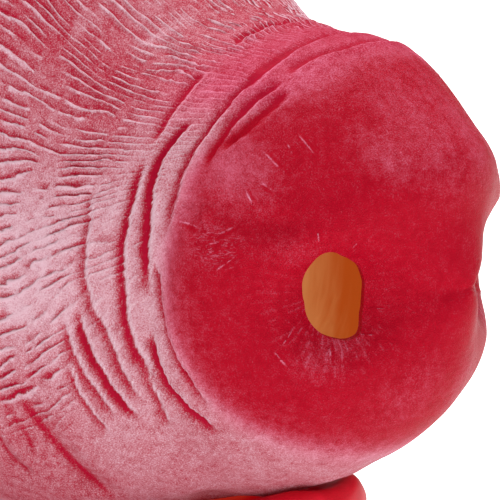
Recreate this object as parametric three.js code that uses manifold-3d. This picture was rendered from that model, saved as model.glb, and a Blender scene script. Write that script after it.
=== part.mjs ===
// Pig head mask: a hollow latex head that stands on its neck rim, with ears bonded on and a tongue.
// Millimetres. The face looks along -Y, +X is the mask's left, +Z is up, the neck rim lies at z = 0.

import * as THREE from 'three';
import { mergeVertices } from 'three/addons/utils/BufferGeometryUtils.js';
import Module from 'manifold-3d';

const wasm = await Module();
wasm.setup();

// Driving dimensions
const wall = 2.2; // latex thickness
const seatGap = 0.3; // clearance between two pieces that touch
const boxCentre = 7.2; // forward place of the box's middle, which becomes y = 0
const throughNeck = 8; // how far the hollow is cut past the neck rim

// Head sections, from the neck rim to the snout's tip. Each is a closed ring from a low point under
// the chin to a high point on the back, crown or bridge. widest is the share of that height where
// the ring is widest, fullLow and fullHigh are its squareness below and above it, and sweep is how
// far its sides lag behind its middle.
const headColumns = [
  'lowForward', 'lowUp', 'highForward', 'highUp', 'half', 'widest', 'fullLow', 'fullHigh', 'sweep',
];
const headRows = {
  neckRim: [62, 0, -145, 0, 93, 0.5, 2.2, 2.2, 0],
  neck: [60, 40, -152, 60, 90, 0.5, 2.2, 2.2, 0],
  throat: [60, 60, -163, 130, 94, 0.5, 2.2, 2.2, 0],
  nape: [62, 68, -169, 205, 99, 0.5, 2.2, 2.2, 0],
  back: [65, 73, -142, 275, 102, 0.52, 2.2, 2.2, 0],
  crownBack: [69, 76, -75, 318, 102, 0.52, 2.2, 2.2, 3],
  crown: [74, 79, -5, 328, 96, 0.5, 2.2, 2.2, 9],
  forehead: [80, 82, 50, 300, 85, 0.44, 2.2, 2.1, 18],
  brow: [86, 84, 79, 262, 74, 0.4, 2.3, 2.0, 16],
  eye: [92, 87, 98, 234, 69, 0.43, 2.4, 2.0, 11],
  cheek: [99, 89, 113, 221, 64.5, 0.47, 2.4, 2.0, 9],
  muzzle: [107, 92, 126, 217, 59.5, 0.5, 2.4, 2.0, 7],
  folds: [117, 95, 138, 215.5, 55, 0.53, 2.4, 2.0, 7],
  collar: [127, 98, 149, 215, 52, 0.54, 2.25, 2.0, 9],
  rim: [141, 102.5, 158, 212.5, 54, 0.54, 2.1, 1.78, 12],
  lobe: [157.5, 110.5, 171.5, 201, 51, 0.54, 2.15, 1.72, 18],
  face: [173, 124, 183, 189, 42, 0.54, 2.2, 1.8, 22],
  front: [181, 140, 184, 174, 26, 0.52, 2.2, 2.0, 16],
  tip: [182, 157, 182, 157, 0, 0.5, 2.0, 2.0, 0],
};

// Lower jaw sections across the head, from inside the throat to the chin's tip
const jawColumns = ['forward', 'half', 'lowUp', 'highUp', 'full'];
const jawRows = {
  root: [24, 44, 16, 98, 2.2],
  throat: [52, 51, 22, 102, 2.2],
  jowl: [76, 53, 36, 107, 2.3],
  jaw: [100, 44, 50.5, 98, 2.1],
  lip: [119, 36, 61.5, 98, 2.15],
  chin: [130, 28, 69.5, 97, 2.2],
  front: [135.5, 15, 77, 94.5, 2.1],
  tip: [137, 2, 84, 88, 2.0],
};

// Tongue sections, from the mouth to the tip that hangs over the lower lip
const tongueColumns = ['forward', 'half', 'lowUp', 'highUp', 'full'];
const tongueRows = {
  root: [90, 12, 80, 87, 2.0],
  middle: [106, 19, 80.5, 92.4, 2.1],
  lip: [122, 21, 82.6, 95.8, 2.1],
  over: [133, 20.5, 84.35, 98.9, 2.1],
  curl: [141, 17, 86, 100.9, 2.1],
  bend: [146, 10.5, 88.5, 99.6, 2.0],
  tip: [148.5, 2, 92.5, 95.5, 2.0],
};

// Folds, the same on both sides. Each runs through four places, given by the angle above the side
// in degrees and the distance behind the snout's collar along the side. depth and width in mm.
const foldColumns = [
  'angle1', 'behind1', 'angle2', 'behind2', 'angle3', 'behind3', 'angle4', 'behind4', 'depth', 'width',
];
const skinFolds = {
  collar: [8, 0.6, 27, 3.7, 46, 4.9, 66, 5, 1.1, 3.0],
  collarTop: [60, 4.8, 71, 5.5, 82, 6.2, 96, 7.1, 1.0, 3.2],
  collarLow: [5, 3.1, -5, -1.4, -18, -6.5, -35, -11.1, 1.0, 3.0],
  collarFront: [29, -1.6, 40, -0.2, 49, -0.6, 60, -1.9, 1.0, 3.0],
  frontTop: [62, -1.2, 71, -0.8, 80, -2.8, 92, -3, 0.8, 3.0],
  upperRim: [35, -3.6, 43, -5.1, 50, -5.5, 58, -5.8, 0.8, 3.0],
  second: [48, 9.4, 33, 12.2, 15, 7.5, -4.5, 2.2, 1.2, 3.2],
  underCollar: [-10, 1.6, -21, -0.9, -31, -5.2, -44, -9.6, 1.1, 3.0],
  third: [34, 16.8, 14, 13.1, -5, 8.9, -26.5, -0.8, 1.2, 3.2],
  thirdHigh: [30, 16.2, 46, 18.2, 60, 20.4, 76, 20.3, 1.0, 3.2],
  thirdTop: [70, 22.4, 78, 22.8, 86, 22.4, 98, 23, 0.9, 3.2],
  fourth: [27, 27, 3, 21.2, -10, 12.8, -29.5, 4, 1.1, 3.2],
  fifth: [-1, 22.4, -11, 18.2, -21, 12.7, -32, 6.2, 1.2, 3.0],
  sixth: [-2.5, 26.9, -11, 22.6, -20, 17.8, -29.5, 13, 0.9, 2.8],
  seventh: [-12, 25, -19, 22.5, -26, 19.5, -34, 16.2, 0.7, 2.8],
};
const wallFolds = {
  alar: [15, -1, 22.5, -10, 27.5, -19.5, 30, -29, 2.2, 9],
  jowl: [-16, 41, -30, 35.4, -44, 32.2, -60, 32.3, 2.2, 8],
  jowlBehind: [-18, 45.8, -23, 43.4, -29, 41.7, -36, 41.8, 1.4, 5],
  jowlLast: [-27, 51, -33, 51.7, -38, 51.2, -44, 48.8, 1.4, 5],
};
const foldPlaces = 4;
const skinPerDegree = 1.05; // mm of skin for each degree around the muzzle
const foldSteps = 12; // straight steps that follow one fold
const foldTaper = 0.2; // share of a fold's length over which each end fades

// Nostrils: an oval hole at the bottom of a soft funnel
const nostril = { angle: -3, behind: -48.8, halfWide: 7, halfHigh: 9.9, depth: 7, reach: 20 };

// Swellings of the snout above and below each nostril, placed as the folds are
const swellColumns = ['angle', 'behind', 'rise', 'reach'];
const swellings = {
  aboveNostril: [26, -36, 2, 20],
  belowNostril: [-36, -36, 3, 24],
};

// Eyes: an almond hole in a socket, with a lid bulging round it
const eye = {
  angle: 47, behind: 88, halfWide: 15.5, halfHigh: 9, depth: 4, reach: 27, lid: 2.6, lidReach: 19,
};

// Mouth: a lens cut between the lips
const mouth = { half: 32, corner: 103, low: 84, top: 112, from: 98, to: 152, bow: 3, steps: 16 };

// Ears: cupped leaves whose roots follow the head
const ear = {
  row: 5.55, angle: 54, sunk: 9, length: 116, half: 41, cup: 20, thick: 2.8, bend: 30, point: 1.5,
  lean: [-0.55, -0.1, 0.83], facing: [-0.42, -0.9, 0], steps: 11, across: 10, widestAt: 0.34, rootShare: 0.74,
  blunt: 0.05,
};

// Mesh fineness: columns round the head, and ring spacing by zone of the head
const outerColumns = 44;
const innerColumns = 30;
const jawSides = 18;
const tongueSides = 14;
const outerZones = [
  { from: 392, to: 122, step: 24 },
  { from: 122, to: 60, step: 7 },
  { from: 60, to: 27, step: 4.4 },
  { from: 27, to: -13, step: 2 },
  { from: -13, to: -78, step: 3.8 },
];
const innerZones = [
  { from: 392, to: 122, step: 30 },
  { from: 122, to: -13, step: 8.5 },
  { from: -13, to: -76, step: 5.5 },
];
const jawStep = 0.5; // rows of the jaw's table between two rings
const tongueStep = 0.5;

// Finishes
const paintedLatex = { color: 0xc4808e, roughness: 0.55, metalness: 0 };
const redLatex = { color: 0xb21e30, roughness: 0.4, metalness: 0 };

// Smooth curves through a table's values

function catmullRom(before, start, end, after, u) {
  const straight = end - before;
  const curve = 2 * before - 5 * start + 4 * end - after;
  const twist = 3 * start - before - 3 * end + after;
  return 0.5 * (2 * start + straight * u + curve * u * u + twist * u * u * u);
}

function curveThrough(values, t) {
  const last = values.length - 1;
  const start = THREE.MathUtils.clamp(Math.floor(t), 0, last - 1);
  const picks = [Math.max(start - 1, 0), start, start + 1, Math.min(start + 2, last)];
  return catmullRom(...picks.map((pick) => values[pick]), t - start);
}

function sectionAt(rows, columns, t) {
  const table = Object.values(rows);
  const section = {};
  columns.forEach((name, column) => {
    section[name] = curveThrough(table.map((row) => row[column]), t);
  });
  return section;
}

function power(value, exponent) {
  return Math.sign(value) * Math.abs(value) ** exponent;
}

function place(x, forward, up) {
  return new THREE.Vector3(x, boxCentre - forward, up);
}

// Head surface. turn is the angle round a section: 0 at the mask's right, 90 degrees at the top.

const headLast = Object.keys(headRows).length - 1;

function headBase(t, turn) {
  const s = sectionAt(headRows, headColumns, t);
  const rise = Math.sin(turn);
  const full = rise >= 0 ? s.fullHigh : s.fullLow;
  const across = -power(Math.cos(turn), 2 / full);
  const climb = Math.abs(rise) ** (2 / full);
  const share = rise >= 0 ? s.widest + (1 - s.widest) * climb : s.widest * (1 - climb);
  const forward = THREE.MathUtils.lerp(s.lowForward, s.highForward, share) - s.sweep * across * across;
  const up = THREE.MathUtils.lerp(s.lowUp, s.highUp, share);
  return place(Math.max(s.half, 0) * across, forward, up);
}

function headNormal(t, turn) {
  const nudge = 1e-3;
  const ahead = Math.min(t + nudge, headLast - nudge);
  const along = headBase(ahead, turn).sub(headBase(ahead - 2 * nudge, turn));
  const around = headBase(t, turn + nudge).sub(headBase(t, turn - nudge));
  return along.cross(around).normalize();
}

// Distance behind the collar along the side, for each place between the table's rows

const sideSteps = 900;
const collarRow = Object.keys(headRows).indexOf('collar');
const sideLength = [0];
for (let step = 1; step <= sideSteps; step += 1) {
  const here = headBase((step / sideSteps) * headLast, 0);
  const before = headBase(((step - 1) / sideSteps) * headLast, 0);
  sideLength.push(sideLength[step - 1] + here.distanceTo(before));
}

function lengthAt(t) {
  const step = (t / headLast) * sideSteps;
  const low = Math.min(Math.floor(step), sideSteps - 1);
  return THREE.MathUtils.lerp(sideLength[low], sideLength[low + 1], step - low);
}

function behindCollar(t) {
  return lengthAt(collarRow) - lengthAt(t);
}

function rowBehind(behind) {
  const wanted = lengthAt(collarRow) - behind;
  const high = Math.max(sideLength.findIndex((length) => length >= wanted), 1);
  const share = (wanted - sideLength[high - 1]) / (sideLength[high] - sideLength[high - 1]);
  return ((high - 1 + share) / sideSteps) * headLast;
}

// Angle above the side in degrees, the same on the left and the right

function sideAngle(turn) {
  const lifted = Math.atan2(Math.sin(turn), Math.abs(Math.cos(turn)));
  return THREE.MathUtils.radToDeg(lifted);
}

// Depth of a table of folds at one place of the skin

function bell(distance, reach) {
  const share = Math.min(Math.abs(distance) / reach, 1);
  return Math.cos((share * Math.PI) / 2) ** 2;
}

function foldPoint(fold, u) {
  const places = Array.from({ length: foldPlaces }, (_, i) => i + 1);
  const along = u * (foldPlaces - 1);
  const angle = curveThrough(places.map((number) => fold[`angle${number}`]), along);
  const behind = curveThrough(places.map((number) => fold[`behind${number}`]), along);
  return new THREE.Vector2(angle * skinPerDegree, behind);
}

function foldDepth(fold, spot) {
  let deepest = 0;
  for (let step = 0; step < foldSteps; step += 1) {
    const start = foldPoint(fold, step / foldSteps);
    const run = foldPoint(fold, (step + 1) / foldSteps).sub(start);
    const share = THREE.MathUtils.clamp(spot.clone().sub(start).dot(run) / run.lengthSq(), 0, 1);
    const distance = spot.distanceTo(start.addScaledVector(run, share));
    const u = (step + share) / foldSteps;
    const taper = THREE.MathUtils.smoothstep(Math.min(u, 1 - u), 0, foldTaper);
    deepest = Math.max(deepest, fold.depth * taper * bell(distance, fold.width));
  }
  return deepest;
}

function named(columns, row) {
  return Object.fromEntries(columns.map((name, column) => [name, row[column]]));
}

function foldsDepth(table, t, turn) {
  const spot = new THREE.Vector2(sideAngle(turn) * skinPerDegree, behindCollar(t));
  const depths = Object.values(table).map((row) => {
    return foldDepth(named(foldColumns, row), spot);
  });
  return Math.max(...depths);
}

// Forms that shape the whole wall: nostril funnels, swellings, eye sockets and the broad folds

function featurePoint(feature) {
  return headBase(rowBehind(feature.behind), THREE.MathUtils.degToRad(feature.angle));
}

function featureNormal(feature) {
  return headNormal(rowBehind(feature.behind), THREE.MathUtils.degToRad(feature.angle));
}

const nostrilPoint = featurePoint(nostril);
const eyePoint = featurePoint(eye);
const swellForms = Object.values(swellings).map((row) => {
  const form = named(swellColumns, row);
  return { ...form, point: featurePoint(form) };
});

function wallDent(t, turn) {
  const spot = headBase(t, turn);
  spot.x = -Math.abs(spot.x);
  const toNostril = spot.distanceTo(nostrilPoint);
  const toEye = spot.distanceTo(eyePoint);
  const funnel = nostril.depth * bell(toNostril, nostril.reach);
  const socket = eye.depth * bell(toEye, eye.reach);
  const lid = eye.lid * bell(toEye - eye.lidReach, eye.lidReach / 2);
  const swells = swellForms.map((form) => form.rise * bell(spot.distanceTo(form.point), form.reach));
  const swell = swells.reduce((sum, rise) => sum + rise);
  return funnel + socket - lid - swell + foldsDepth(wallFolds, t, turn);
}

function outerPoint(t, turn, grow) {
  const depth = wallDent(t, turn) + foldsDepth(skinFolds, t, turn) - grow;
  return headBase(t, turn).addScaledVector(headNormal(t, turn), -depth);
}

function innerPoint(t, turn) {
  const depth = wallDent(t, turn) + wall;
  return headBase(t, turn).addScaledVector(headNormal(t, turn), -depth);
}

// Closed skins from rings of points, and solids from closed skins

function skin(rings) {
  const size = rings[0].length;
  const points = rings.flat();
  const faces = [];
  for (let ring = 0; ring + 1 < rings.length; ring += 1) {
    for (let column = 0; column < size; column += 1) {
      const next = (column + 1) % size;
      const low = ring * size;
      const high = low + size;
      faces.push(low + column, low + next, high + next, low + column, high + next, high + column);
    }
  }
  [0, rings.length - 1].forEach((ring) => {
    const centre = points.length;
    const middle = new THREE.Vector3();
    rings[ring].forEach((point) => middle.addScaledVector(point, 1 / size));
    points.push(middle);
    for (let column = 0; column < size; column += 1) {
      const edge = [ring * size + column, ring * size + ((column + 1) % size)];
      faces.push(centre, ...(ring === 0 ? edge.reverse() : edge));
    }
  });
  const geometry = new THREE.BufferGeometry().setFromPoints(points);
  geometry.setIndex(faces);
  return geometry;
}

function volume(geometry) {
  const at = geometry.attributes.position;
  const [a, b, c] = [new THREE.Vector3(), new THREE.Vector3(), new THREE.Vector3()];
  let sum = 0;
  for (let i = 0; i < geometry.index.count; i += 3) {
    a.fromBufferAttribute(at, geometry.index.getX(i));
    b.fromBufferAttribute(at, geometry.index.getX(i + 1));
    c.fromBufferAttribute(at, geometry.index.getX(i + 2));
    sum += a.dot(b.cross(c)) / 6;
  }
  return sum;
}

function solid(source) {
  const bare = source.clone();
  bare.deleteAttribute('normal');
  bare.deleteAttribute('uv');
  const geometry = mergeVertices(bare);
  const triVerts = new Uint32Array(geometry.index.array);
  if (volume(geometry) < 0) {
    triVerts.reverse();
  }
  const vertProperties = new Float32Array(geometry.attributes.position.array);
  return new wasm.Manifold(new wasm.Mesh({ numProp: 3, vertProperties, triVerts }));
}

function geometryOf(manifold) {
  const mesh = manifold.getMesh();
  const geometry = new THREE.BufferGeometry();
  geometry.setAttribute('position', new THREE.BufferAttribute(new Float32Array(mesh.vertProperties), 3));
  geometry.setIndex(new THREE.BufferAttribute(new Uint32Array(mesh.triVerts), 1));
  geometry.computeVertexNormals();
  return geometry;
}

function mirrored(geometry) {
  return geometry.clone().scale(-1, 1, 1);
}

function turned(geometry, origin, normal) {
  const side = new THREE.Vector3(0, 0, 1).cross(normal).normalize();
  const up = normal.clone().cross(side);
  const frame = new THREE.Matrix4().makeBasis(side, up, normal).setPosition(origin);
  return geometry.applyMatrix4(frame);
}

// Head, outer and inner

function zoneRows(zones) {
  const rows = [0];
  zones.forEach((zone) => {
    const count = Math.ceil((zone.from - zone.to) / zone.step);
    for (let i = 0; i < count; i += 1) {
      rows.push(rowBehind(zone.from - ((i + 0.5) / count) * (zone.from - zone.to)));
    }
  });
  return rows;
}

function headRing(t, columns, point) {
  return Array.from({ length: columns }, (_, column) => point(t, (column / columns) * 2 * Math.PI));
}

function headOuter(grow) {
  const point = (t, turn) => outerPoint(t, turn, grow);
  const rings = zoneRows(outerZones).map((t) => headRing(t, outerColumns, point));
  rings[0].forEach((spot) => spot.setZ(0));
  return solid(skin(rings));
}

function headInner() {
  const rings = zoneRows(innerZones).map((t) => headRing(t, innerColumns, innerPoint));
  rings[0].forEach((spot) => spot.setZ(-throughNeck));
  return solid(skin(rings));
}

// Blobs lofted through sections across the head: jaw and tongue

function blobRing(section, sides, inset) {
  const middle = (section.lowUp + section.highUp) / 2;
  const tall = Math.max((section.highUp - section.lowUp) / 2 - inset, inset / 4);
  const half = Math.max(section.half - inset, inset / 4);
  return Array.from({ length: sides }, (_, side) => {
    const turn = (side / sides) * 2 * Math.PI;
    const across = half * power(Math.cos(turn), 2 / section.full);
    const rise = tall * power(Math.sin(turn), 2 / section.full);
    return place(across, section.forward, middle + rise);
  });
}

function blob(rows, columns, sides, step, inset) {
  const last = Object.keys(rows).length - 1;
  const count = Math.round(last / step);
  const rings = Array.from({ length: count + 1 }, (_, i) => {
    const section = sectionAt(rows, columns, (i / count) * last);
    const share = i / count;
    section.forward += inset * (1 - 2 * share);
    return blobRing(section, sides, inset);
  });
  return solid(skin(rings));
}

// Cutters: nostrils, eyes and mouth

function nostrilCutter() {
  const deep = 4 * nostril.reach;
  const oval = new THREE.CylinderGeometry(1, 1, deep, 24).rotateX(Math.PI / 2);
  oval.scale(nostril.halfWide, nostril.halfHigh, 1);
  const normal = featureNormal(nostril).setZ(0).normalize();
  return turned(oval, nostrilPoint, normal);
}

function eyeCutter() {
  const almond = new THREE.Shape();
  almond.moveTo(-eye.halfWide, 0);
  almond.quadraticCurveTo(0, 2 * eye.halfHigh, eye.halfWide, 0);
  almond.quadraticCurveTo(0, -2 * eye.halfHigh, -eye.halfWide, 0);
  const deep = 2 * eye.reach;
  const bar = new THREE.ExtrudeGeometry(almond, { depth: deep, bevelEnabled: false, curveSegments: 9 });
  bar.translate(0, 0, -deep / 2);
  return turned(bar, eyePoint, featureNormal(eye));
}

function mouthCutter() {
  const lens = new THREE.Shape();
  lens.moveTo(-mouth.half, mouth.top);
  for (let step = 0; step <= mouth.steps; step += 1) {
    const share = (2 * step) / mouth.steps - 1;
    const up = mouth.low + (mouth.corner - mouth.low) * Math.abs(share) ** mouth.bow;
    lens.lineTo(share * mouth.half, up);
  }
  lens.lineTo(mouth.half, mouth.top);
  const bar = new THREE.ExtrudeGeometry(lens, { depth: mouth.to - mouth.from, bevelEnabled: false });
  bar.rotateX(Math.PI / 2);
  bar.translate(0, boxCentre - mouth.from, 0);
  return bar;
}

// Pieces

function maskShell() {
  const head = headOuter(0);
  const jaw = blob(jawRows, jawColumns, jawSides, jawStep, 0);
  const hollow = headInner().add(blob(jawRows, jawColumns, jawSides, jawStep, wall));
  let shell = head.add(jaw).subtract(hollow);
  shell = shell.subtract(solid(mouthCutter()).subtract(head));
  [nostrilCutter(), eyeCutter()].forEach((cutter) => {
    shell = shell.subtract(solid(cutter)).subtract(solid(mirrored(cutter)));
  });
  return shell;
}

function earLeaf() {
  const root = headBase(ear.row, THREE.MathUtils.degToRad(ear.angle));
  const along = new THREE.Vector3(...ear.lean).normalize();
  const facing = new THREE.Vector3(...ear.facing);
  facing.addScaledVector(along, -facing.dot(along)).normalize();
  const across = along.clone().cross(facing);
  root.addScaledVector(along, -ear.sunk);
  const leafPoint = (u, v, lift) => {
    const opened = Math.sin((Math.min(u / ear.widestAt, 1) * Math.PI) / 2);
    const grown = THREE.MathUtils.lerp(ear.rootShare, 1, opened);
    const past = Math.max((u - ear.widestAt) / (1 - ear.widestAt), 0);
    const half = ear.half * grown * Math.max(1 - past ** ear.point, ear.blunt);
    const cup = ear.cup * v * v * (half / ear.half);
    const bow = ear.bend * u * u;
    const spot = root.clone().addScaledVector(along, u * ear.length);
    return spot.addScaledVector(across, v * half).addScaledVector(facing, cup + bow + lift);
  };
  const rings = Array.from({ length: ear.steps + 1 }, (_, i) => {
    const u = i / ear.steps;
    const line = Array.from({ length: ear.across + 1 }, (_, j) => (2 * j) / ear.across - 1);
    const front = line.map((v) => leafPoint(u, v, ear.thick / 2));
    const back = line.map((v) => leafPoint(u, -v, -ear.thick / 2));
    return [...front, ...back];
  });
  return solid(skin(rings));
}

function rightEar() {
  return earLeaf().subtract(headOuter(seatGap));
}

function piece(name, geometry, finish) {
  const mesh = new THREE.Mesh(geometry, new THREE.MeshStandardMaterial(finish));
  mesh.name = name;
  return mesh;
}

const earGeometry = geometryOf(rightEar());
const leftEarGeometry = geometryOf(solid(mirrored(earGeometry)));
const tongueSolid = blob(tongueRows, tongueColumns, tongueSides, tongueStep, 0);

const pigMask = new THREE.Group();
pigMask.add(piece('mask_shell', geometryOf(maskShell()), paintedLatex));
pigMask.add(piece('ear_right', earGeometry, paintedLatex));
pigMask.add(piece('ear_left', leftEarGeometry, paintedLatex));
pigMask.add(piece('tongue', geometryOf(tongueSolid), redLatex));

export default pigMask;
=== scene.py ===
import math
import bpy
import numpy as np
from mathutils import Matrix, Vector
from mathutils.kdtree import KDTree


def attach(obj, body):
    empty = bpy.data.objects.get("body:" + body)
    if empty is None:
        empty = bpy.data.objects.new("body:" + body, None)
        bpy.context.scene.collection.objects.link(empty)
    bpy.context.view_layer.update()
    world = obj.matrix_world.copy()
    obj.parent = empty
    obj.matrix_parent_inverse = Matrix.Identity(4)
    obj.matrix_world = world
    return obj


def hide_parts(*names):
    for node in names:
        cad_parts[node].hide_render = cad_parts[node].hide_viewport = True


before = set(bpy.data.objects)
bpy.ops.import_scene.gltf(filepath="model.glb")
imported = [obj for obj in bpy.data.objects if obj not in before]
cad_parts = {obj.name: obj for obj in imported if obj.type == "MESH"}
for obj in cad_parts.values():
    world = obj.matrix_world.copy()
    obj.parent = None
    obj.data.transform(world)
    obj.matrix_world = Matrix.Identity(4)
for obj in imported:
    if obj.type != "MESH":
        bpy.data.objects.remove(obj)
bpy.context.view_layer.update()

mm = 0.001
scene = bpy.context.scene


def srgb(red, green, blue):  # screen colour to the linear one that a socket takes
    channels = [c / 255 for c in (red, green, blue)]
    return [c / 12.92 if c <= 0.04045 else ((c + 0.055) / 1.055) ** 2.4 for c in channels] + [1]


class Wire:  # one socket of a node tree, and what can be made from it
    def __init__(self, tree, socket=None):
        self.tree = tree
        self.socket = socket

    def pick(self, sockets, key):
        if isinstance(key, int):
            return sockets[key]
        return next(s for s in sockets if s.name == key and s.enabled)

    def node(self, kind, settings=None, inputs=None, out=0):
        made = self.tree.nodes.new(kind)
        for name, value in (settings or {}).items():
            setattr(made, name, value)
        for name, value in (inputs or {}).items():
            socket = self.pick(made.inputs, name)
            if isinstance(value, Wire):
                self.tree.links.new(value.socket, socket)
            else:
                socket.default_value = value
        return Wire(self.tree, self.pick(made.outputs, out) if made.outputs else None)

    def maths(self, operation, first, second=0.0):
        return self.node("ShaderNodeMath", {"operation": operation}, {0: first, 1: second})

    def __add__(self, other):
        return self.maths("ADD", self, other)

    def __sub__(self, other):
        return self.maths("SUBTRACT", self, other)

    def __rsub__(self, other):
        return self.maths("SUBTRACT", other, self)

    def __mul__(self, other):
        return self.maths("MULTIPLY", self, other)

    __radd__, __rmul__ = __add__, __mul__

    def between(self, low, high):  # soft step from 0 at low to 1 at high
        spread = {"interpolation_type": "SMOOTHSTEP"}
        return self.node("ShaderNodeMapRange", spread, {"Value": self, "From Min": low, "From Max": high})

    def blend(self, first, second):  # from the first colour to the second
        return self.node("ShaderNodeMix", {"data_type": "RGBA"}, {0: self, 6: first, 7: second}, 2)

    def noise(self, place, scale, detail, roughness=0.5):
        return self.node("ShaderNodeTexNoise", {}, {
            "Vector": place, "Scale": scale, "Detail": detail, "Roughness": roughness}, "Fac")

    def split(self, vector):  # x, y and z of a vector
        made = self.tree.nodes.new("ShaderNodeSeparateXYZ")
        self.tree.links.new(vector.socket, made.inputs[0])
        return [Wire(self.tree, socket) for socket in made.outputs]

    def surface(self, colour, rough, look, grain=None, glow=None):  # the shader and the material's output
        inputs = {"Base Color": colour, "Roughness": rough, "Specular IOR Level": look["specular"]}
        if grain:
            inputs["Normal"] = self.node("ShaderNodeBump", {}, {
                "Strength": look["grain"], "Distance": look["grainDeep"], "Height": grain}, "Normal")
        if glow:
            inputs.update({"Emission Color": glow, "Emission Strength": look["glow"]})
        shader = self.node("ShaderNodeBsdfPrincipled", {}, inputs)
        self.node("ShaderNodeOutputMaterial", {}, {"Surface": shader})


def newMaterial(name):
    made = bpy.data.materials.new(name)
    made.use_nodes = True
    made.node_tree.nodes.clear()
    w = Wire(made.node_tree)
    return made, w, w.node("ShaderNodeTexCoord", {}, {}, "Object")


def addObject(name, data):
    made = bpy.data.objects.new(name, data)
    scene.collection.objects.link(made)
    return made


def smoothstep(low, high, value):
    share = np.clip((value - low) / (high - low), 0, 1)
    return share * share * (3 - 2 * share)


def bell(distance, reach):
    return np.cos(np.minimum(np.abs(distance) / reach, 1) * math.pi / 2) ** 2


def signedPower(value, exponent):
    return np.sign(value) * np.abs(value) ** exponent


def unit(vectors):
    return vectors / np.maximum(np.linalg.norm(vectors, axis=-1, keepdims=True), 1e-9)


# Head sections from the neck rim to the snout's tip, in mm, the same as the solid's
headColumns = "lowForward lowUp highForward highUp half widest fullLow fullHigh sweep".split()
headRows = {
    "neckRim": [62, 0, -145, 0, 93, 0.5, 2.2, 2.2, 0],
    "neck": [60, 40, -152, 60, 90, 0.5, 2.2, 2.2, 0],
    "throat": [60, 60, -163, 130, 94, 0.5, 2.2, 2.2, 0],
    "nape": [62, 68, -169, 205, 99, 0.5, 2.2, 2.2, 0],
    "back": [65, 73, -142, 275, 102, 0.52, 2.2, 2.2, 0],
    "crownBack": [69, 76, -75, 318, 102, 0.52, 2.2, 2.2, 3],
    "crown": [74, 79, -5, 328, 96, 0.5, 2.2, 2.2, 9],
    "forehead": [80, 82, 50, 300, 85, 0.44, 2.2, 2.1, 18],
    "brow": [86, 84, 79, 262, 74, 0.4, 2.3, 2.0, 16],
    "eye": [92, 87, 98, 234, 69, 0.43, 2.4, 2.0, 11],
    "cheek": [99, 89, 113, 221, 64.5, 0.47, 2.4, 2.0, 9],
    "muzzle": [107, 92, 126, 217, 59.5, 0.5, 2.4, 2.0, 7],
    "folds": [117, 95, 138, 215.5, 55, 0.53, 2.4, 2.0, 7],
    "collar": [127, 98, 149, 215, 52, 0.54, 2.25, 2.0, 9],
    "rim": [141, 102.5, 158, 212.5, 54, 0.54, 2.1, 1.78, 12],
    "lobe": [157.5, 110.5, 171.5, 201, 51, 0.54, 2.15, 1.72, 18],
    "face": [173, 124, 183, 189, 42, 0.54, 2.2, 1.8, 22],
    "front": [181, 140, 184, 174, 26, 0.52, 2.2, 2.0, 16],
    "tip": [182, 157, 182, 157, 0, 0.5, 2.0, 2.0, 0],
}
head = {
    "wall": 2.2, "boxCentre": 7.2, "throughNeck": 8, "skinPerDegree": 1.05, "sharp": 50, "sideSteps": 900,
    "tipFrom": 0.7, "tipTo": 0.15,  # rows before the tip, where the skin turns to face ahead
    "zones": [  # from, to (mm behind the collar), ring step, columns
        (392, 150, 5.0, 112), (150, 118, 2.8, 224), (118, 62, 2.0, 448), (62, 27, 1.4, 896),
        (27, -12, 0.75, 448), (-12, -58, 1.1, 448), (-58, -70, 1.1, 224), (-70, -79, 1.2, 112),
    ],
    "innerZones": [(392, 122, 14, 60), (122, -13, 6, 60), (-13, -76, 4, 60)],
}

# Folds through four places each: degrees above the side and mm behind the collar,
# then depth and width in mm, and how red the crease is
foldColumns = "angle1 behind1 angle2 behind2 angle3 behind3 angle4 behind4 depth width stain".split()
skinFolds = {
    "collar": [8, 0.6, 27, 3.7, 46, 4.9, 66, 5, 1.1, 2.5, 0.65],
    "collarTop": [60, 4.8, 71, 5.5, 82, 6.2, 96, 7.1, 1.0, 3.2, 0.7],
    "collarWedge": [54, 4.2, 61, 4.8, 67, 5.2, 74, 5.5, 0.5, 3.6, 1.2],
    "collarLow": [5, 3.1, -5, -1.4, -18, -6.5, -35, -11.1, 1.0, 2.4, 0.7],
    "collarFront": [29, -1.6, 40, -0.2, 49, -0.6, 60, -1.9, 1.0, 3.0, 0.8],
    "frontTop": [62, -1.2, 71, -0.8, 80, -2.8, 92, -3, 0.8, 3.0, 0.6],
    "upperRim": [35, -3.6, 43, -5.1, 50, -5.5, 58, -5.8, 0.8, 2.7, 0.75],
    "second": [44, 10.2, 33, 12.2, 15, 7.5, -4.5, 2.2, 1.3, 3.2, 1.25],
    "underCollar": [-10, 1.6, -21, -0.9, -31, -5.2, -44, -9.6, 1.1, 2.8, 1.0],
    "third": [34, 16.8, 14, 13.1, -5, 8.9, -26.5, -0.8, 1.2, 3.4, 0.9],
    "thirdLow": [-13, 4.8, -22, 2.4, -29, 1.3, -37, 0.5, 0.7, 2.4, 0.5],
    "thirdHigh": [36, 16.8, 44, 17.9, 50, 18.8, 60, 20.4, 0.8, 3.2, 0.55],
    "thirdTop": [70, 22.4, 78, 22.8, 86, 22.4, 98, 23, 0.9, 3.2, 0.7],
    "fourth": [27, 27, 3, 21.2, -10, 12.8, -29.5, 4, 1.1, 2.8, 0.6],
    "fifth": [-1, 22.4, -11, 18.2, -21, 12.7, -32, 6.2, 1.2, 3.0, 0.95],
    "sixth": [-2.5, 26.9, -11, 22.6, -20, 17.8, -29.5, 13, 0.9, 3.0, 0.5],
    "seventh": [-12, 25, -19, 22.5, -26, 19.5, -34, 16.2, 0.7, 2.8, 0.45],
}
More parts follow.
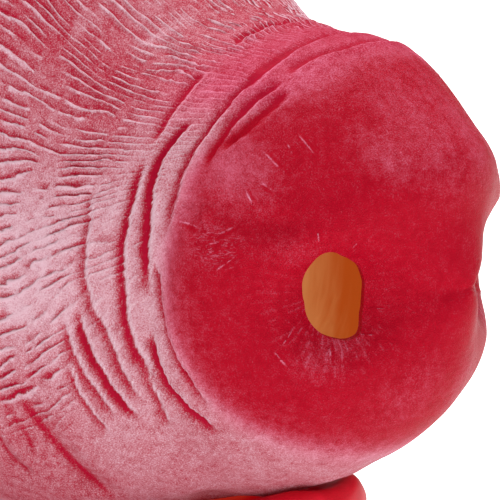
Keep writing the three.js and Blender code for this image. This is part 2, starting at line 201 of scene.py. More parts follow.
wallFolds = {
    "alar": [15, -1, 22.5, -10, 27.5, -19.5, 30, -29, 2.2, 9, 0.0],
    "jowl": [-16, 41, -30, 35.4, -44, 32.2, -60, 32.3, 2.2, 8, 0.5],
    "jowlBehind": [-18, 45.8, -23, 43.4, -29, 41.7, -36, 41.8, 1.4, 5, 0.3],
    "jowlLast": [-27, 51, -33, 51.7, -38, 51.2, -44, 48.8, 1.4, 5, 0.3],
}
fold = {
    "places": 4, "steps": 24, "taper": 0.2, "creaseWide": 0.27, "deeper": 1.25, "roll": 0.5, "slope": 0.62,
    "lip": 0.3, "stainSlope": 0.72, "stainLip": 0.8, "crestAt": 0.72, "crestWide": 0.36, "edgeAt": 0.42,
    "edgeWide": 0.14, "wobble": 0.22, "lean": 0.3, "apart": 1.9,
    "sways": [(0.24, 1.0), (0.71, 0.6), (1.9, 0.45), (3.3, 0.3)],  # pace and size of each wave
}

# Short lines on the snout between two places, and how many mm they rise
snoutLines = {
    "upperLong": [41.6, -10.5, 41.4, -16.7, 0.3], "upperRight": [50.4, -12.2, 49.9, -16.7, 0.3],
    "upperShort": [47.1, -12.5, 45.9, -14.4, 0.3], "middleLeft": [32.1, -12.8, 30.7, -15.5, 0.3],
    "middleRight": [36, -14.1, 36.4, -17.2, 0.25], "sideUpper": [17, -13.3, 23.5, -15.7, 0.25],
    "sideLower": [8, -17, 15.4, -19.7, 0.25], "underHole": [-28.5, -42.4, -37.3, -38.2, 0.25],
    "leftOfHole": [-20.9, -32, -15.8, -36.5, 0.25], "lowLeft": [-20.5, -30.1, -28.9, -31, 0.25],
    "lowRight": [-31.9, -49.3, -37.7, -51.8, 0.25], "rightOfHole": [-16.8, -57.2, -20.3, -59.7, 0.25],
    "overHole": [33.2, -30.1, 28.7, -34, 0.25], "overRight": [31.1, -44.4, 36, -42.6, 0.25],
    "underLump": [14.4, -0.5, 16.9, -9.4, 0.25],
}
snoutLine = {"width": 0.6, "taper": 0.3, "near": 1.0, "far": 2.2, "none": 9.0}  # none: no line is near

# Soft swellings of the snout, placed as the folds are: rise and reach in mm
swellColumns = "angle behind rise reach".split()
swellings = {
    "aboveNostril": [26, -36, 2, 20], "belowNostril": [-36, -36, 3, 24], "septum": [0, -79, 3.6, 19],
    "lipBow": [-85, -2, 2, 14], "lipFront": [-87, -10, 1.1, 11], "lipArch": [-74, 8, -1.5, 8],
}
lump = {"angle": 20.7, "behind": -8.9, "rise": 1.3, "reach": 4.0}
ripple = {
    "angleFrom": -50, "angleTo": -72, "behind": -46, "reach": 16, "spacing": 2.3, "slant": 9, "rise": 0.12,
}
nostril = {
    "angle": -3, "behind": -48.8, "depth": 7, "reach": 20, "sides": 72, "none": 99.0,
    "radius": {  # degrees anticlockwise from the side of the septum: mm
        0: 8.3, 15: 8.7, 31: 8.9, 47: 9.5, 60: 9.4, 84: 10.1, 102: 12.2, 115: 12.5, 129: 11.0, 145: 9.7,
        167: 8.0, 192: 7.2, 219: 8.4, 244: 9.4, 268: 10.2, 284: 11.1, 302: 11.4, 322: 9.2, 345: 8.4, 360: 8.3,
    },
}
eye = {
    "angle": 47, "behind": 88, "halfWide": 15.5, "halfHigh": 9, "depth": 4, "reach": 27,
    "lid": 2.6, "lidReach": 19, "sides": 40,
}


def curveThrough(table, t):  # smooth curve through a table's rows
    table = np.array(table, float)
    last = len(table) - 1
    t = np.asarray(t, float)
    row = np.clip(np.floor(t), 0, last - 1).astype(int)
    u = (t - row)[..., None]
    before, start, end, after = (table[np.clip(row + k, 0, last)] for k in (-1, 0, 1, 2))
    curve = 2 * before - 5 * start + 4 * end - after
    twist = 3 * start - before - 3 * end + after
    return 0.5 * (2 * start + (end - before) * u + curve * u ** 2 + twist * u ** 3)


def sectionAt(rows, columns, t):
    return dict(zip(columns, np.moveaxis(curveThrough(list(rows.values()), t), -1, 0)))


def headBase(t, turn):  # turn is 0 at the mask's right and a quarter at the top
    s = sectionAt(headRows, headColumns, t)
    rise = np.sin(turn)
    full = np.where(rise >= 0, s["fullHigh"], s["fullLow"])
    across = -signedPower(np.cos(turn), 2 / full)
    climb = np.abs(rise) ** (2 / full)
    share = np.where(rise >= 0, s["widest"] + (1 - s["widest"]) * climb, s["widest"] * (1 - climb))
    forward = s["lowForward"] + (s["highForward"] - s["lowForward"]) * share - s["sweep"] * across ** 2
    up = s["lowUp"] + (s["highUp"] - s["lowUp"]) * share
    return np.stack([np.maximum(s["half"], 0) * across, head["boxCentre"] - forward, up], -1)


headLast = len(headRows) - 1


def headNormal(t, turn):
    nudge = 1e-3
    ahead = np.minimum(t + nudge, headLast - nudge)
    along = headBase(ahead, turn) - headBase(ahead - 2 * nudge, turn)
    around = headBase(t, turn + nudge) - headBase(t, turn - nudge)
    out = unit(np.cross(along, around))
    tip = smoothstep(headLast - head["tipFrom"], headLast - head["tipTo"], np.asarray(t, float))[..., None]
    return unit(out * (1 - tip) + np.array([0, -1, 0]) * tip)


sideRows = np.linspace(0, headLast, head["sideSteps"] + 1)
sidePoints = headBase(sideRows, np.zeros_like(sideRows))
sideLength = np.concatenate([[0], np.cumsum(np.linalg.norm(np.diff(sidePoints, axis=0), axis=1))])
collarLength = np.interp(list(headRows).index("collar"), sideRows, sideLength)


def behindCollar(t):
    return collarLength - np.interp(t, sideRows, sideLength)


def rowBehind(behind):
    return np.interp(collarLength - behind, sideLength, sideRows)


def sideAngle(turn):
    return np.degrees(np.arctan2(np.sin(turn), np.abs(np.cos(turn))))


def toLine(places, steps, taper, spots):  # distance, positive before the line, and its fading at the ends
    line = curveThrough(places, np.linspace(0, len(places) - 1, steps + 1)) * [head["skinPerDegree"], 1]
    distance = np.full(len(spots), 1e3)
    share = np.zeros(len(spots))
    front = np.ones(len(spots))
    for step in range(steps):
        run = line[step + 1] - line[step]
        along = np.clip((spots - line[step]) @ run / (run @ run), 0, 1)
        gap = spots - line[step] - along[:, None] * run
        length = np.hypot(gap[:, 0], gap[:, 1])
        closer = length < distance
        distance = np.where(closer, length, distance)
        share = np.where(closer, (step + along) / steps, share)
        front = np.where(closer, np.where(gap[:, 1] < 0, 1, -1), front)
    return distance * front, smoothstep(0, taper, np.minimum(share, 1 - share))


def toFold(row, spots):
    f = dict(zip(foldColumns, row))
    places = np.reshape(row[:2 * fold["places"]], (-1, 2))
    return f, *toLine(places, fold["steps"], fold["taper"], spots)


def featureSpot(feature):
    t, turn = rowBehind(feature["behind"]), math.radians(feature["angle"])
    return headBase(t, turn), headNormal(t, turn)


def holeAxes(feature, level):
    spot, normal = featureSpot(feature)
    normal = unit(normal * [1, 1, 0] if level else normal)
    side = unit(np.cross([0, 0, 1], normal))
    return spot, side, np.cross(normal, side), normal


def headForm(t, turn):  # height of the whole wall over the plain form
    spots = np.stack([sideAngle(turn) * head["skinPerDegree"], behindCollar(t)], -1)
    base = headBase(t, turn)
    base[:, 0] = -np.abs(base[:, 0])
    away = lambda feature: np.linalg.norm(base - featureSpot(feature)[0], axis=1)
    height = -nostril["depth"] * bell(away(nostril), nostril["reach"])
    toEye = away(eye)
    lid = eye["lid"] * bell(toEye - eye["lidReach"], eye["lidReach"] / 2)
    height += lid - eye["depth"] * bell(toEye, eye["reach"])
    for row in swellings.values():
        swell = dict(zip(swellColumns, row))
        height += swell["rise"] * bell(away(swell), swell["reach"])
    dip = np.zeros(len(t))
    for row in wallFolds.values():
        f, distance, taper = toFold(row, spots)
        dip = np.maximum(dip, f["depth"] * taper * bell(distance, f["width"]))
    return height - dip


def headSkin(t, turn):  # finer height on the outside, and how much groove and crest there is
    angle, behind = sideAngle(turn), behindCollar(t)
    spots = np.stack([angle * head["skinPerDegree"], behind], -1)
    groove, crest, roll, cut = (np.zeros(len(t)) for _ in range(4))
    for row in wallFolds.values():
        f, distance, taper = toFold(row, spots)
        groove = np.maximum(groove, f["stain"] * taper * bell(distance, f["width"] * fold["creaseWide"]))
    for number, row in enumerate(skinFolds.values()):
        f, distance, taper = toFold(row, spots)
        sway = sum(np.sin(pace * (spots[:, 0] + fold["lean"] * behind) + fold["apart"] * number) * size
                   for pace, size in fold["sways"])
        distance = distance + fold["wobble"] * sway
        # a long slope behind and a steep lip before
        wide = f["width"] * np.where(distance < 0, fold["slope"], fold["lip"])
        cut = np.maximum(cut, f["depth"] * fold["deeper"] * taper * np.exp(-(distance / wide) ** 2))
        stained = np.where(distance < 0, fold["stainSlope"], fold["stainLip"])
        groove = np.maximum(groove, f["stain"] * taper * np.exp(-(distance / (wide * stained)) ** 2))
        across = distance / f["width"]
        roll = np.maximum(roll, taper * np.exp(-((across - fold["crestAt"]) / fold["crestWide"]) ** 2))
        crest = np.maximum(crest, taper * np.exp(-((across - fold["edgeAt"]) / fold["edgeWide"]) ** 2))
    height = fold["roll"] * roll * np.clip(1 - groove, 0, 1) - cut
    for *ends, rise in snoutLines.values():
        distance, taper = toLine(np.reshape(ends, (2, 2)), 1, snoutLine["taper"], spots)
        height += rise * taper * np.exp(-(distance / snoutLine["width"]) ** 2)
    toLump = spots - [lump["angle"] * head["skinPerDegree"], lump["behind"]]
    height += lump["rise"] * bell(np.linalg.norm(toLump, axis=1), lump["reach"])
    rippled = smoothstep(ripple["angleFrom"], ripple["angleTo"], angle)
    rippled = rippled * bell(behind - ripple["behind"], ripple["reach"])
    waves = np.sin(2 * math.pi * behind / ripple["spacing"] + angle / ripple["slant"])
    height += ripple["rise"] * rippled * waves
    return height, groove, crest


discEdge = {  # angle above the side: mm behind the collar where the red of the snout ends, and its softness
    90: (-8, 2), 62: (-8, 2.5), 52: (-5, 4), 44: (-1, 4), 36: (2, 4), 27: (2.5, 3.5), 15: (1, 4),
    5: (0, 4.5), -10: (-4, 4.5), -22: (-9, 4.5), -36: (-13, 5), -50: (-17, 5), -65: (-19, 6), -90: (-20, 7),
}
# Dust by angle above the side, over the folds and over the cheek
foldDust = {
    90: 0.22, 75: 0.3, 60: 0.32, 45: 0.42, 20: 0.62, 0: 0.64, -20: 0.54, -35: 0.46, -60: 0.42, -90: 0.4,
}
cheekDust = {
    90: 0.24, 64: 0.36, 50: 0.21, 30: 0.42, 14: 0.76, 0: 0.7, -11: 0.46, -30: 0.34, -56: 0.3, -90: 0.36,
}
backDust = 0.5  # over the head behind the eyes
hazesAndSheen = {  # pale places of the snout, pale dust and painted sheen, the two top ones being painted highlights: angle, mm behind the collar, reach in mm, dust and sheen
    "cheekSide": [34, -6, 19, 0.37], "topSheen": [80, -24, 30, 0.23], "sheenSpot": [64, -25, 15, 0.24],
    "underHole": [-32, -41, 17, 0.17], "overHole": [22, -30, 13, 0.1], "lowFront": [-76, -38, 24, 0.15],
}
crackle = {"angle": 15, "behind": -15, "reach": 11}
strips = {  # pale smooth strips across the wrinkles, through three places each
    "bridge": [58, 39.4, 66, 38.5, 77, 38.7], "high": [50, 49.6, 54.5, 50.3, 59, 51],
    "side": [24, 38.7, 12, 34.1, -2, 32.3],
}
strip = {"steps": 12, "taper": 0.25, "wide": 1.1, "dust": 0.16, "smooth": 0.8}
rimDust = {"most": 0.6, "lessAbove": 0.25, "fade": 3.5, "wider": 2.5, "narrower": 2}  # at the red's edge
wrinkled = {"from": 24, "sooner": 0.12, "before": 3, "after": 5, "far": 0.15, "onFolds": 0.4}
spans = {  # where one finish passes to another: degrees above the side, then mm behind the collar
    "rimLess": (30, 55), "rimWider": (-30, 0), "rimNarrower": (40, 60), "linesRaised": (24, 42),
    "wrinkleLow": (-34, -16), "foldLow": (-16, 4),
    "cheek": (18, 34), "back": (75, 130), "calm": (130, 80), "neckRim": (385, 340),
    "foldFrom": (3, 9), "foldTo": (60, 40),
}


def byAngle(table, angle, column=None):
    keys = sorted(table)
    values = [table[k] if column is None else table[k][column] for k in keys]
    return np.interp(angle, keys, values)


def headPaint(t, turn, groove, crest):
    angle, behind = sideAngle(turn), behindCollar(t)
    at = lambda name, value: smoothstep(*spans[name], value)
    toPlace = lambda place, back: np.hypot((angle - place) * head["skinPerDegree"], behind - back)
    inside = byAngle(discEdge, angle, 0) - behind  # mm inside the red
    soft = byAngle(discEdge, angle, 1)
    disc = smoothstep(-soft, soft, inside)
    shown = rimDust["most"] - rimDust["lessAbove"] * at("rimLess", angle)
    fade = rimDust["fade"] + rimDust["wider"] * at("rimWider", angle)
    fade = fade - rimDust["narrower"] * at("rimNarrower", angle)
    snoutDustAndSheen = shown * np.exp(-np.maximum(inside, 0) / fade)
    for place, back, reach, haze in hazesAndSheen.values():
        snoutDustAndSheen = np.maximum(snoutDustAndSheen, haze * bell(toPlace(place, back), reach))
    far = at("cheek", behind)
    dust = byAngle(foldDust, angle) * (1 - far) + byAngle(cheekDust, angle) * far
    atBack = at("back", behind)
    # on the snout the dust also carries the painted sheen
    dust = (dust * (1 - atBack) + backDust * atBack) * (1 - disc) + snoutDustAndSheen * disc
    base = headBase(t, turn)
    skin = np.stack([angle * head["skinPerDegree"], behind, base[:, 0]], -1)
    start = wrinkled["from"] - wrinkled["sooner"] * np.maximum(angle, 0)  # wrinkles end at the fourth fold
    wrinkle = smoothstep(start - wrinkled["before"], start + wrinkled["after"], behind)
    calm = wrinkled["far"] + (1 - wrinkled["far"]) * at("calm", behind)
    wrinkle = wrinkle * at("wrinkleLow", angle) * calm * at("neckRim", behind)
    onFolds = wrinkled["onFolds"] * at("foldLow", angle) * at("foldFrom", behind) * at("foldTo", behind)
    wrinkle = np.maximum(wrinkle, onFolds)
    lines = at("linesRaised", angle)  # furrows at the side, raised lines above
    spots = skin[:, :2]
    for row in strips.values():
        distance, taper = toLine(np.reshape(row, (3, 2)), strip["steps"], strip["taper"], spots)
        covered = taper * np.exp(-(distance / strip["wide"]) ** 2)
        dust, wrinkle = dust + strip["dust"] * covered, wrinkle * (1 - strip["smooth"] * covered)
    stroke, strokeShow = np.full(len(t), snoutLine["none"]), np.zeros(len(t))  # signed mm to the nearest line
    for *ends, _ in snoutLines.values():
        distance, taper = toLine(np.reshape(ends, (2, 2)), 1, snoutLine["taper"], spots)
        stroke = np.where(np.abs(distance) < np.abs(stroke), distance, stroke)
        near = smoothstep(snoutLine["far"], snoutLine["near"], np.abs(distance))
        strokeShow = np.maximum(strokeShow, taper * near)
    spot, side, up, _ = holeAxes(nostril, True)
    base[:, 0] = -np.abs(base[:, 0])
    hole = np.stack([(base - spot) @ side, (base - spot) @ up, np.zeros(len(t))], -1)
    cracked = bell(toPlace(crackle["angle"], crackle["behind"]), crackle["reach"])
    return {
        "skin": skin, "groove": groove, "crest": crest, "disc": disc, "dust": dust, "wrinkle": wrinkle,
        "lines": lines, "stroke": stroke, "strokeShow": strokeShow, "hole": hole, "crackle": cracked}


def plainMarks(places, **marks):  # paint of a piece without folds
    count = len(places)
    names = "groove crest disc dust wrinkle lines strokeShow crackle".split()
    plain = {name: np.zeros(count) for name in names}
    plain["skin"], plain["hole"] = places, np.full((count, 3), nostril["none"])
    plain["stroke"] = np.full(count, snoutLine["none"])
    plain.update({name: np.broadcast_to(value, count).copy() for name, value in marks.items()})
    return plain


markKinds = {"FLOAT": ("value", 1), "FLOAT_VECTOR": ("vector", 3)}  # field of the data, numbers for a point


def addMark(mesh, key, values):
    kind = "FLOAT_VECTOR" if values.ndim == 2 else "FLOAT"
    made = mesh.attributes.new(key, kind, "POINT")
    made.data.foreach_set(markKinds[kind][0], values.astype(np.float32).ravel())


def meshFromRings(name, rings, paint, material):  # each ring as long as the next, half of it or twice it
    starts = np.cumsum([0] + [len(r) for r in rings])
    faces = []
    for ring in range(len(rings) - 1):
        low, high = starts[ring], starts[ring + 1]
        n, m = len(rings[ring]), len(rings[ring + 1])
        i = np.arange(min(n, m))
        j = (i + 1) % min(n, m)
        if n == m:
            parts = [(low + i, low + j, high + j, high + i)]
        elif n > m:
            left, middle, right = low + 2 * i, low + 2 * i + 1, low + (2 * i + 2) % n
            parts = [(left, middle, high + i), (middle, high + j, high + i), (middle, right, high + j)]
        else:
            left, middle, right = high + 2 * i, high + 2 * i + 1, high + (2 * i + 2) % m
            parts = [(low + i, middle, left), (low + i, low + j, middle), (low + j, right, middle)]
        for corners in parts:
            faces += np.stack(corners, -1).tolist()
    points = np.concatenate(rings)
    n, m = len(rings[0]), len(rings[-1])
    ends = [points[:n].mean(0), points[-m:].mean(0)]  # a point in the middle closes each end
    faces += [[len(points), (k + 1) % n, k] for k in range(n)]
    faces += [[len(points) + 1, starts[-2] + k, starts[-2] + (k + 1) % m] for k in range(m)]
    mesh = bpy.data.meshes.new(name)
    mesh.from_pydata((np.concatenate([points, ends]) * mm).tolist(), [], faces)
    for key, values in (paint or {}).items():
        addMark(mesh, key, np.concatenate([values, values[:1], values[-1:]]))
    mesh.materials.append(material)
    outwards(mesh)
    return addObject(name, mesh)


def outwards(mesh):  # turns a closed skin's faces out if they point in
    mesh.calc_loop_triangles()
    corners = np.zeros(len(mesh.loop_triangles) * 3, np.int32)
    mesh.loop_triangles.foreach_get("vertices", corners)
    places = np.zeros(len(mesh.vertices) * 3)
    mesh.vertices.foreach_get("co", places)
    a, b, c = places.reshape(-1, 3)[corners.reshape(-1, 3)].transpose(1, 0, 2)
    if np.einsum("ij,ij->", a, np.cross(b, c)) < 0:
        mesh.flip_normals()


def ringRows(zones):
    rows = [(0.0, zones[0][3])]
    for start, end, step, columns in zones:
        count = math.ceil((start - end) / step)
        places = [start - (i + 0.5) / count * (start - end) for i in range(count)]
        rows += [(float(rowBehind(place)), columns) for place in places]
    return rows


def headRings(zones, inset=None):
    rows = ringRows(zones)
    t = np.concatenate([np.full(columns, row) for row, columns in rows])
    turn = np.concatenate([np.arange(columns) / columns * 2 * math.pi for _, columns in rows])
    height = headForm(t, turn)
    fine, groove, crest = headSkin(t, turn)
    height = height + fine if inset is None else height - inset
    points = headBase(t, turn) + headNormal(t, turn) * height[:, None]
    points[:rows[0][1], 2] = 0 if inset is None else -head["throughNeck"]
    rings = np.split(points, np.cumsum([columns for _, columns in rows])[:-1])
    return rings, headPaint(t, turn, groove, crest)


# Skin relief: wrinkles that run along the muzzle, and soft lumps, raised along the skin's normal
relief = {
    "spacing": 3.1, "closer": 0.2, "closerFrom": 20.0, "tilt": 0.3, "tiltHigh": 0.02, "bend": 0.009,
    "bendFrom": 42.0, "waver": 1.6, "wiggle": 0.4, "rough": 0.12, "breaks": 0.43, "lineHeight": 0.46,
    "lumpSize": 7.0, "lumpHeight": 0.35, "seed": 4.0,
}
pattern = {  # what stays fixed in the wrinkles, in mm on the skin
    "high": (12.0, 46.0), "level": 30, "bendMost": 40.0, "across": 0.02, "neckRim": (330.0, 380.0),
    "drifts": {  # mm round, mm along and shift of each noise
        "waver": (11, 22, 0.0), "wiggle": (2.6, 6, 5.3), "rough": (0.7, 1.4, 3.7),
        "breaks": (3.4, 9, 9.1), "stops": (14, 4, 2.2),
    },
    "breakEnds": (-0.09, 0.09), "stopAt": 0.38, "stopEnds": (-0.06, 0.06),
    # shares of the way from one line to the next
    "climb": (0.7, 0.97), "drop": (0.0, 0.08), "sink": (0.02, 0.12), "fade": (0.12, 0.55),
    "sideRaised": 0.75, "lessSunk": 0.6,
}


def wrinklePattern(w, skin, lines, size):  # 1 on a raised line, -1 in a furrow
    around, behind, across = w.split(skin)

    def drift(name):
        wide, long, shift = pattern["drifts"][name]
        depth = across * pattern["across"] + size["seed"] + shift
        place = w.node("ShaderNodeCombineXYZ", {}, {0: around * (1 / wide), 1: behind * (1 / long), 2: depth})
        return w.noise(place, 1.0, 1.0)

    def swing(name):
        return (drift(name) - 0.5) * 2 * size[name]

    # the lines fall towards the snout at the top and rise to it at the side
    high = around.between(*pattern["high"])
    climbed = around + (behind - pattern["level"]) * (size["tilt"] * (1 - high) + size["tiltHigh"] * high)
    past = w.maths("MINIMUM", w.maths("MAXIMUM", behind - size["bendFrom"], 0.0), pattern["bendMost"])
    climbed = climbed + past * past * size["bend"] * high  # they level out towards the eyes
    closer = w.maths("MAXIMUM", climbed - size["closerFrom"], 0.0) * size["closer"]  # more lines higher up
    turns = w.maths("DIVIDE", climbed, size["spacing"]) + closer + swing("waver") + swing("wiggle")
    phase = w.maths("FRACT", turns + swing("rough"))
    # lines begin and end, and stop at smooth strips across
    kept = (drift("breaks") - size["breaks"]).between(*pattern["breakEnds"])
    kept = kept * (drift("stops") - pattern["stopAt"]).between(*pattern["stopEnds"])
    raised = phase.between(*pattern["climb"]) + (1 - phase.between(*pattern["drop"]))
    raised = raised * (pattern["sideRaised"] + lines * (1 - pattern["sideRaised"]))
    sunk = phase.between(*pattern["sink"]) * (1 - phase.between(*pattern["fade"]))  # sharp above, soft below
    return kept * (raised - sunk * (1 - lines * pattern["lessSunk"]))


def reliefTree(material):
    tree = bpy.data.node_groups.new("skinRelief", "GeometryNodeTree")
    tree.interface.new_socket("Geometry", in_out="INPUT", socket_type="NodeSocketGeometry")
    for name in relief:
        tree.interface.new_socket(name, in_out="INPUT", socket_type="NodeSocketFloat")
    tree.interface.new_socket("Geometry", in_out="OUTPUT", socket_type="NodeSocketGeometry")
    w = Wire(tree)
    group = tree.nodes.new("NodeGroupInput")
    given = {s.name: Wire(tree, s) for s in group.outputs if s.name}

    def read(name, kind):
        return w.node("GeometryNodeInputNamedAttribute", {"data_type": kind}, {"Name": name}, "Attribute")

    skin = read("skin", "FLOAT_VECTOR")
    wrinkle = wrinklePattern(w, skin, read("lines", "FLOAT"), given) * read("wrinkle", "FLOAT")
    lumpScale = w.maths("DIVIDE", 1 / mm, given["lumpSize"])
    lumps = w.noise(w.node("GeometryNodeInputPosition"), lumpScale, 1.5) - 0.5
    behind = w.split(skin)[1]
    lumps = lumps * (1 - behind.between(*pattern["neckRim"]))  # the neck rim stays level
    rise = (wrinkle * given["lineHeight"] + lumps * given["lumpHeight"]) * mm
    normal = w.node("GeometryNodeInputNormal")
    offset = w.node("ShaderNodeVectorMath", {"operation": "SCALE"}, {0: normal, "Scale": rise})
    raised = w.node("GeometryNodeSetPosition", {}, {"Geometry": given["Geometry"], "Offset": offset})
    real = w.node("GeometryNodeRealizeInstances", {}, {"Geometry": raised})
    painted = w.node("GeometryNodeSetMaterial", {}, {"Geometry": real, "Material": material})
    w.node("NodeGroupOutput", {}, {"Geometry": painted})
    return tree


def plainMesh(target):  # what the modifiers make becomes the mesh
    bpy.context.view_layer.update()
    seen = target.evaluated_get(bpy.context.evaluated_depsgraph_get())
    mesh = bpy.data.meshes.new_from_object(seen)
    old = target.data
    target.modifiers.clear()
    target.data = mesh
    bpy.data.meshes.remove(old)


def addRelief(target, tree, **changes):
    modifier = target.modifiers.new("relief", "NODES")
    modifier.node_group = tree
    for item in tree.interface.items_tree:
        if item.in_out == "INPUT" and item.name in relief:
            modifier[item.identifier] = float(changes.get(item.name, relief[item.name]))
    plainMesh(target)


def combine(target, tool, operation, keepTool=False):
    modifier = target.modifiers.new(operation, "BOOLEAN")
    modifier.operation, modifier.object = operation, tool
    modifier.solver, modifier.material_mode = "MANIFOLD", "TRANSFER"
    plainMesh(target)
    if not keepTool:
        bpy.data.objects.remove(tool)


def readPoints(mesh):
    places = np.zeros(len(mesh.vertices) * 3, np.float32)
    mesh.vertices.foreach_get("co", places)
    return places.reshape(-1, 3)


def readPaint(mesh):
    paint = {}
    for item in mesh.attributes:
        if item.domain == "POINT" and item.data_type in markKinds and item.name != "position":
            field, wide = markKinds[item.data_type]
            values = np.zeros(len(mesh.vertices) * wide, np.float32)
            item.data.foreach_get(field, values)
            paint[item.name] = values.reshape(-1, wide) if wide > 1 else values
    return paint


def writePaint(mesh, places, paint):  # every point takes the paint of the nearest place
    tree = KDTree(len(places))
    for index, place in enumerate(places):
        tree.insert(place, index)
    tree.balance()
    nearest = np.array([tree.find(v.co)[1] for v in mesh.vertices])
    for key, values in paint.items():
        if key in mesh.attributes:
            mesh.attributes.remove(mesh.attributes[key])
        addMark(mesh, key, values[nearest])


# Painted skin: deep red latex with pale pink dust over the high places, with painted glints and sheen, and
# painted shadows beside the creases
skinPaint = {
    "deepRed": srgb(172, 14, 47), "discRed": srgb(171, 7, 33), "palePink": srgb(219, 178, 190),
    "discPale": srgb(228, 126, 156), "speckGlintWhite": srgb(240, 218, 224), "dark": srgb(134, 4, 24),
    "specks": 2800, "blotches": 110, "streaks": 420, "noiseRough": 0.6, "rays": 47, "raySway": 9,
    "rayLean": -0.5, "rayEven": 0.25, "strokeWide": 0.4, "shadeAt": 0.75, "crackWide": 0.05,
    "slant": (0.2, 0.75, 3.0), "dustEven": 0.4, "dustBlotch": 0.7, "dustSlant": 0.5, "crestShow": 0.5,
    "discCrest": 0.9, "patchShow": 0.45, "discPatch": 0.05, "farPatch": 0.2, "grooveShow": 0.82,
    "grooveEven": 0.65, "groovePatch": 0.7, "speckShow": 0.95, "discSpecks": 0.35, "farSpecks": 0.45,
    "darkShow": 0.15, "crestGlint": 0.16, "lineGlint": 0.05, "creaseGlint": 0.2, "pinkLess": 0.8,
    "roughness": 0.5, "speckRough": 0.15, "discGloss": 0.08, "specular": 0.03, "grain": 0.8,
    "grainDeep": 0.0004, "speckGrain": 0.45, "discGrain": 0.45, "patchGrain": 0.6, "discPatchGrain": 0.3,
    "marks": {  # how far each lightens the paint, and how far it stands up in the grain
        "line": (0.55, 0.65), "furrow": (0.4, 0.65), "crease": (0.48, 0.5), "shade": (-0.16, -0.2),
        "ray": (0.17, 0.25), "crack": (0.42, 0.4),
    },
    "steps": {  # where each soft step begins and ends
        "crease": (0.4, 0.56), "ray": (0.2, 1.0), "rayEnd": (12.0, 24.0), "rayBreak": (0.34, 0.6),
        "rayBelow": (-2.0, 12.0), "crack": (0.36, 0.52), "far": (65.0, 140.0), "pale": (-0.02, 1.0),
        "top": (36.0, 58.0), "topEnd": (10.0, 36.0), "dark": (0.34, 0.5), "speckGlint": (0.66, 0.9),
    },
}


def makeSkinPaint():
    made, w, place = newMaterial("paintedSkin")
    look, step = skinPaint, skinPaint["steps"]
    read = lambda name, out="Fac": w.node("ShaderNodeAttribute", {"attribute_name": name}, {}, out)
    groove, crest, disc, dust = (read(n) for n in ("groove", "crest", "disc", "dust"))
    skin = read("skin", "Vector")
    wrinkle = wrinklePattern(w, skin, read("lines"), relief) * read("wrinkle")
    noise = lambda scale, detail, where=place: w.noise(where, scale, detail, look["noiseRough"])
    speck, blotch = noise(look["specks"], 1.0), noise(look["blotches"], 3.0)
    patch = noise(look["streaks"], 2.0)

    def near(value, centre, wide):  # soft peak
        return 1 - w.maths("ABSOLUTE", value - centre).between(0.0, wide)

    # short creases painted pale as a highlight, with a painted shadow along one side, fine rays round the
    # nostrils and a crackled place
    stroke, strokeShow = read("stroke"), read("strokeShow")
    creaseRidgeHighlight = near(stroke, 0.0, look["strokeWide"]) * strokeShow * patch.between(*step["crease"])
    creaseShadow = near(stroke, look["shadeAt"], look["shadeAt"]) * strokeShow
    hole = read("hole", "Vector")
    reach = w.node("ShaderNodeVectorMath", {"operation": "LENGTH"}, {0: hole}, "Value")
    holeX, holeY, _ = w.split(hole)
    turned = w.maths("ARCTAN2", holeY, holeX) * look["rays"] + blotch * look["raySway"]
    rays = w.maths("SINE", turned).between(*step["ray"]) * (1 - reach.between(*step["rayEnd"]))
    below = (holeX * look["rayLean"] - holeY).between(*step["rayBelow"])  # most rays are below
    rays = rays * patch.between(*step["rayBreak"]) * (look["rayEven"] + below * (1 - look["rayEven"]))
    around, behind, _ = w.split(skin)
    wide, long, shift = look["slant"]
    slanted = w.node("ShaderNodeCombineXYZ", {}, {
        0: (around - behind) * wide, 1: (around + behind) * long, 2: shift})
    slant = noise(1.0, 1.5, slanted)
    cracks = near(slant, 0.5, look["crackWide"]) * read("crackle") * patch.between(*step["crack"])

    raised, sunk = w.maths("MAXIMUM", wrinkle, 0.0), w.maths("MINIMUM", wrinkle, 0.0)
    far = behind.between(*step["far"])  # calmer behind the eyes
    lifted = dust * (look["dustEven"] + blotch * look["dustBlotch"] + slant * look["dustSlant"])
    # fold crests painted paler: pale dust with a painted highlight along each fold's edge
    lifted = lifted + crest * look["crestShow"] * (1 - disc * look["discCrest"])
    lifted = lifted + (patch - 0.5) * (look["patchShow"] - disc * look["discPatch"] - far * look["farPatch"])
    lifted = lifted - groove * look["grooveShow"] * (look["grooveEven"] + patch * look["groovePatch"])
    grain = speck * (look["speckGrain"] + disc * look["discGrain"])
    grain = grain + patch * (look["patchGrain"] - disc * look["discPatchGrain"])
    marks = (raised, sunk, creaseRidgeHighlight, creaseShadow, rays, cracks)
    for mark, (shown, rise) in zip(marks, look["marks"].values()):
        lifted, grain = lifted + mark * shown, grain + mark * rise
    specks = (speck - 0.5) * (look["speckShow"] - disc * look["discSpecks"] - far * look["farSpecks"])
    pale = (lifted + specks).between(*step["pale"])
    deep = disc.blend(look["deepRed"], look["discRed"])
    collarTop = around.between(*step["top"]) * (1 - behind.between(*step["topEnd"]))
    pinker = w.maths("MAXIMUM", disc, collarTop)
    light = pinker.blend(look["palePink"], look["discPale"])
    shaded = ((1 - patch.between(*step["dark"])) * look["darkShow"]).blend(deep, look["dark"])
    # painted glints: the palest specks turn white, more on fold crests, raised lines and creases, less on the
    # pinker places
    speckGlint = speck + crest * look["crestGlint"] + raised * look["lineGlint"] + creaseRidgeHighlight * look["creaseGlint"]
    speckGlint = speckGlint.between(*step["speckGlint"]) * pale * (1 - pinker * look["pinkLess"])
    colour = speckGlint.blend(pale.blend(shaded, light), look["speckGlintWhite"])
    rough = look["roughness"] + (speck - 0.5) * look["speckRough"] - disc * look["discGloss"]
    w.surface(colour, rough, look, grain)
    return made


